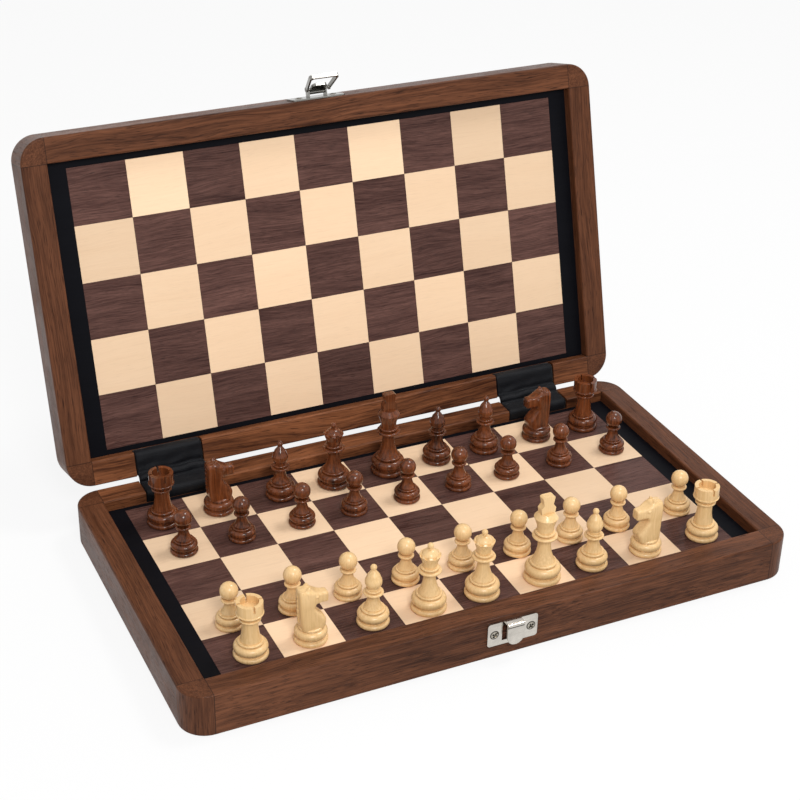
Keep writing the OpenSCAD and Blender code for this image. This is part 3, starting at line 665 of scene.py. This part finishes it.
def horse_forms():
    """Neck, head, ears, eyes and mane of a knight that looks to -X, in metres, before they are
    blended into one carved form. The knots are in millimetres, as carved_form takes them."""
    neck = [(-0.2, 7.6, 5.3, 0, 4.8), (-0.4, 10.0, 6.0, 0, 4.6), (-0.3, 12.2, 6.1, 0, 4.3),
            (0.9, 15.0, 5.1, 0, 4.0), (2.2, 18.4, 3.9, 0, 3.8), (2.1, 21.2, 4.1, 0, 3.9),
            (2.2, 24.8, 4.1, 0, 3.8), (2.5, 27.4, 3.7, 0, 3.4), (2.8, 28.7, 2.9, 0, 2.8)]
    head = [(4.6, 25.0, 0, 3.2, 2.9), (2.0, 24.8, 0, 3.8, 3.8), (-0.5, 24.2, 0, 3.7, 3.9),
            (-2.8, 23.6, 0, 3.1, 3.3), (-4.8, 23.2, 0, 2.8, 2.7), (-6.6, 23.0, 0, 2.75, 2.6),
            (-7.6, 22.9, 0, 2.6, 2.4), (-7.9, 22.9, 0, 2.2, 2.1)]
    ear = [(1.9, 27.0, 1.5, 0, 1.0), (1.5, 28.4, 1.3, 0, 0.95), (1.1, 29.4, 0.95, 0, 0.7),
           (0.9, 30.0, 0.5, 0, 0.45)]
    eye = [(-1.9, 24.4, 0.3, 0, 0.2), (-1.9, 24.7, 0.8, 0, 0.5), (-1.9, 25.2, 0.8, 0, 0.5),
           (-1.9, 25.5, 0.3, 0, 0.2)]
    forms = [carved_form(neck, 5.0), carved_form(head, 5.0)]
    for side in (-1, 1):
        p, f = carved_form(ear, 2.2, 20)
        forms.append((p + (0.0004, side * 0.0020, 0), f))
        p, f = carved_form(eye, 2.0, 16, 0.0002)
        forms.append((p + (0, side * 0.0036, 0), f))
    low, high = 11.0, 29.0
    z = np.linspace(low, high, 47)
    tufts = 0.4 * np.abs(np.sin((z - low) * np.pi / 2.6))
    back = 6.1 + 0.2 * np.sin((z - low) / (high - low) * np.pi)
    back = back - 1.4 * np.clip((z - 26.6) / 2.4, 0, 1) ** 2
    mane = np.column_stack([back - 1.4 + tufts / 2, z, 1.5 + tufts / 2, 0 * z, 1.0 + 0 * z])
    forms.append(carved_form(mane, 2.6, 20))
    return forms


def blended(name, forms, grid_step, passes):
    """One closed form that fills all the given ones: rebuilt on an even grid, then smoothed."""
    made = surface(name, *joined(forms))
    grid = made.modifiers.new("grid", "REMESH")
    grid.mode, grid.voxel_size = "VOXEL", grid_step
    soft = made.modifiers.new("soft", "SMOOTH")
    soft.factor, soft.iterations = 0.5, passes
    view = bpy.context.evaluated_depsgraph_get()
    mesh = bpy.data.meshes.new_from_object(made.evaluated_get(view))
    faces = [list(p.vertices) for p in mesh.polygons]
    bpy.data.objects.remove(made)
    return places(mesh), faces


# ---------------------------------------------------------------- operators

class CHESSBOX_OT_frame_wood(bpy.types.Operator):
    """Gives the rails and corner blocks of both trays their walnut"""
    bl_idname = "chessbox.frame_wood"
    bl_label = "Walnut Frames"

    def execute(self, context):
        w = context.scene.chessbox_wood
        for tray, on_lid in TRAYS:
            for grain, part, joints in (("X", "front_rail", (1, 0)), ("X", "rear_rail", (1, 0)),
                                        ("Y", "side_rails", (0, 1)),
                                        ("Z", "corner_blocks", (1, 1))):
                warm = part == "rear_rail"
                dress(tray + part, wood(
                    f"{tray}{part}_walnut", w.warm_light if warm else w.rail_light,
                    w.warm_dark if warm else w.rail_dark, grain, on_lid,
                    figure=1.2 if grain == "X" else 0.8, fibre=0.9, pores=0.7, rough=0.38,
                    shine=0.12, joints=joints))
        return {"FINISHED"}


class CHESSBOX_OT_boards(bpy.types.Operator):
    """Gives the board panels and their veneer squares their finishes"""
    bl_idname = "chessbox.boards"
    bl_label = "Veneered Boards"

    def execute(self, context):
        w = context.scene.chessbox_wood
        for tray, on_lid in TRAYS:
            dress(tray + "board", painted_black(tray + "black", w.border, on_lid))
            dress(tray + "dark_squares", wood(
                tray + "dark_veneer", w.dark_square, w.dark_streak, "X", on_lid, figure=0.9,
                fibre=1.2, pores=0.6, fineness=1.5, rough=0.22, shine=0.10, squares=True))
            dress(tray + "light_squares", wood(
                tray + "pale_veneer", w.pale_square, w.pale_streak, "X", on_lid, figure=0.45,
                fibre=0.35, pores=0.1, rough=0.30, shine=0.14, squares=True))
        return {"FINISHED"}


class CHESSBOX_OT_bands(bpy.types.Operator):
    """Makes the two padded cloth bands over the hinges"""
    bl_idname = "chessbox.bands"
    bl_label = "Cloth Hinge Bands"

    def execute(self, context):
        b = context.scene.chessbox_bands
        cloth = band_cloth("band_cloth", b.cloth)
        x = places(NODES["base_bands"].data)[:, 0]
        for name, own in (("band_left", x[x < 0]), ("band_right", x[x > 0])):
            width = own.max() - own.min()
            piece, run = band(name, (own.max() + own.min()) / 2, width, b)
            piece.data.materials.append(cloth)
            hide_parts("base_bands", "lid_bands")
            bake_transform(piece)
        return {"FINISHED"}


class CHESSBOX_OT_fittings(bpy.types.Operator):
    """Gives the clasp, the screws and the hinge leaves their metal"""
    bl_idname = "chessbox.fittings"
    bl_label = "Clasp and Hinges"

    def execute(self, context):
        m = context.scene.chessbox_metal
        catch = tuple(np.mean(corners("catch_screws"), axis=0))
        hasp = tuple(shut(np.mean(corners("hasp_screws"), axis=0)))
        low, high = corners("catch_plate")
        # plates and screws get painted shade at the screw rims and slots, and the catch plate also
        # a painted dark line under its hook's roll
        dress("catch_plate", metal("brushed_nickel", m.nickel, middle=catch,
                                   painted_shade_line=(low[1], high[2] - ROLL)))
        dress("hasp_plate", metal("hasp_nickel", m.hasp, middle=hasp, on_lid=True))
        for node in ("hasp_lever", "hasp_loop"):
            dress(node, metal(node + "_nickel", m.hasp, on_lid=True))
        dress("catch_screws", metal("screw_steel", m.screw, 0.25, False, catch))
        dress("hasp_screws", metal("lid_screw_steel", m.screw, 0.25, False, hasp, True))
        hinge = metal("hinge_steel", m.hinge, 0.4)
        for node in ("base_hinge_leaves", "lid_hinge_leaves"):
            dress(node, hinge)
        return {"FINISHED"}


class CHESSBOX_OT_men(bpy.types.Operator):
    """Gives the turned men their boxwood and their lacquered red brown"""
    bl_idname = "chessbox.men"
    bl_label = "Turned Men"

    def execute(self, context):
        w = context.scene.chessbox_wood
        dark = wood("dark_men_lacquer", w.dark_man, w.dark_man_streak, "Z", figure=1.15, fibre=0.5,
                    pores=0.3, fineness=0.75, rough=0.22, depth=0.00002, shine=0.15, coat=0.6,
                    coat_rough=0.05)
        light = wood("light_men_boxwood", w.light_man, w.light_man_streak, "Z", figure=0.6,
                     fibre=0.35, pores=0.1, rough=0.26, depth=0.00002, shine=0.35, coat=0.2,
                     coat_rough=0.12)
        head = blended("horse", horse_forms(), CARVING_GRID, 1)
        for node in MEN:
            finish = dark if node.startswith("dark") else light
            dress(node, finish)
            if "knight" in node:
                self.knight(node, head, finish)
        return {"FINISHED"}

    def knight(self, node, head, finish):
        """A carved horse's head on its turned foot, in the place of a plain knight; the left
        ones look right."""
        low, high = corners(node)
        radius = (high[1] - low[1]) / 2
        points, faces = joined([foot_form(radius, FOOT_SHARE * (high[2] - low[2])), head])
        middle = high[0] - radius
        if "left" in node:
            points = points * (-1, 1, 1)
            faces = [f[::-1] for f in faces]
            middle = low[0] + radius
        points = points + (middle, (low[1] + high[1]) / 2, low[2])
        piece = surface("carved_" + node, points, faces)
        piece.data.materials.append(finish)
        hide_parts(node)
        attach(piece, node)


class CHESSBOX_OT_stage(bpy.types.Operator):
    """Makes the camera, the softboxes, the even room light and the white floor"""
    bl_idname = "chessbox.stage"
    bl_label = "Studio"

    def execute(self, context):
        st = context.scene.chessbox_stage
        scene = context.scene
        lens = bpy.data.cameras.new("camera")
        lens.lens = st.lens
        lens.sensor_width = 36
        lens.sensor_fit = "HORIZONTAL"
        lens.clip_start, lens.clip_end = 0.01, 100
        camera = bpy.data.objects.new("camera", lens)
        camera.location = st.camera_place
        camera.rotation_euler = Euler(st.camera_turn)
        scene.collection.objects.link(camera)
        scene.camera = camera
        target = Vector((0, 0.02, 0.05))
        for name, power, place, side in (
                ("left_softbox", st.left_lamp, (-0.20, -0.90, 0.88), 0.34),
                ("right_softbox", st.right_lamp, (0.52, 0.02, 1.10), 0.30)):
            lamp = bpy.data.lights.new(name, "AREA")
            lamp.energy = power
            lamp.shape = "RECTANGLE"
            lamp.size = lamp.size_y = side
            holder = bpy.data.objects.new(name, lamp)
            holder.location = place
            holder.rotation_euler = (target - Vector(place)).to_track_quat("-Z", "Y").to_euler()
            scene.collection.objects.link(holder)
        self.room(scene, st.room)
        self.floor(st)
        scene.view_settings.view_transform = "Standard"
        return {"FINISHED"}

    def room(self, scene, strength):
        """Even white light; seen by the camera or in a reflection it is plain white."""
        world = bpy.data.worlds.new("room")
        world.use_nodes = True
        scene.world = world
        s = Sheet(world.node_tree)
        ambient = s.fill(s.nodes["Background"], {"Color": WHITE, "Strength": strength})
        white = s.node("ShaderNodeBackground", {"Color": WHITE, "Strength": 1.0})
        mixed = s.node("ShaderNodeMixShader", {
            0: self.seen(s), 1: ambient.outputs[0], 2: white.outputs[0]})
        s.fill(s.nodes["World Output"], {"Surface": mixed.outputs[0]})

    def seen(self, s):
        """1 for camera, glossy and transmission rays."""
        rays = s.node("ShaderNodeLightPath").outputs
        return s.math("MAXIMUM", rays["Is Camera Ray"],
                      s.math("MAXIMUM", rays["Is Glossy Ray"], rays["Is Transmission Ray"]))

    def floor(self, st):
        """A large plane under the box, mostly white to the camera, that keeps soft shadows."""
        half = st.floor_size / 2
        points = np.array([(x, y, 0) for y in (-half, half) for x in (-half, half)])
        floor = surface("floor", points, [[0, 1, 3, 2]])
        material, s, shader, _ = new_material("floor_white")
        s.fill(shader, {"Base Color": st.floor, "Roughness": 0.9})
        glow = s.node("ShaderNodeEmission", {"Color": WHITE, "Strength": 1.0})
        part = s.math("MULTIPLY", self.seen(s), FLOOR_GLOW)
        mixed = s.node("ShaderNodeMixShader", {
            0: part, 1: shader.outputs[0], 2: glow.outputs[0]})
        s.fill(s.nodes["Material Output"], {"Surface": mixed.outputs[0]})
        floor.data.materials.append(material)


class CHESSBOX_PT_panel(bpy.types.Panel):
    """Lists the steps that dress the chess box, and their settings"""
    bl_idname = "CHESSBOX_PT_panel"
    bl_label = "Chess Box"
    bl_space_type = "VIEW_3D"
    bl_region_type = "UI"
    bl_category = "Chess Box"

    def draw(self, context):
        for step in STEPS:
            self.layout.operator(step.bl_idname)
        for name, kind in SETTINGS:
            box = self.layout.box()
            for key in kind.__annotations__:
                box.prop(getattr(context.scene, name), key)


STEPS = (CHESSBOX_OT_stage, CHESSBOX_OT_frame_wood, CHESSBOX_OT_boards, CHESSBOX_OT_bands,
         CHESSBOX_OT_fittings, CHESSBOX_OT_men)
SETTINGS = (("chessbox_wood", ChessBoxWood), ("chessbox_bands", ChessBoxBands),
            ("chessbox_metal", ChessBoxMetal), ("chessbox_stage", ChessBoxStage))


def register():
    """Registers the settings, the steps and the panel."""
    for name, kind in SETTINGS:
        bpy.utils.register_class(kind)
        setattr(bpy.types.Scene, name, PointerProperty(type=kind))
    for kind in (*STEPS, CHESSBOX_PT_panel):
        bpy.utils.register_class(kind)


def unregister():
    """Takes them off again."""
    for kind in (CHESSBOX_PT_panel, *reversed(STEPS)):
        bpy.utils.unregister_class(kind)
    for name, kind in reversed(SETTINGS):
        delattr(bpy.types.Scene, name)
        bpy.utils.unregister_class(kind)


def main():
    """Runs every step in order."""
    register()
    for step in STEPS:
        area, call = step.bl_idname.split(".")
        getattr(getattr(bpy.ops, area), call)()


if __name__ == "__main__":
    main()
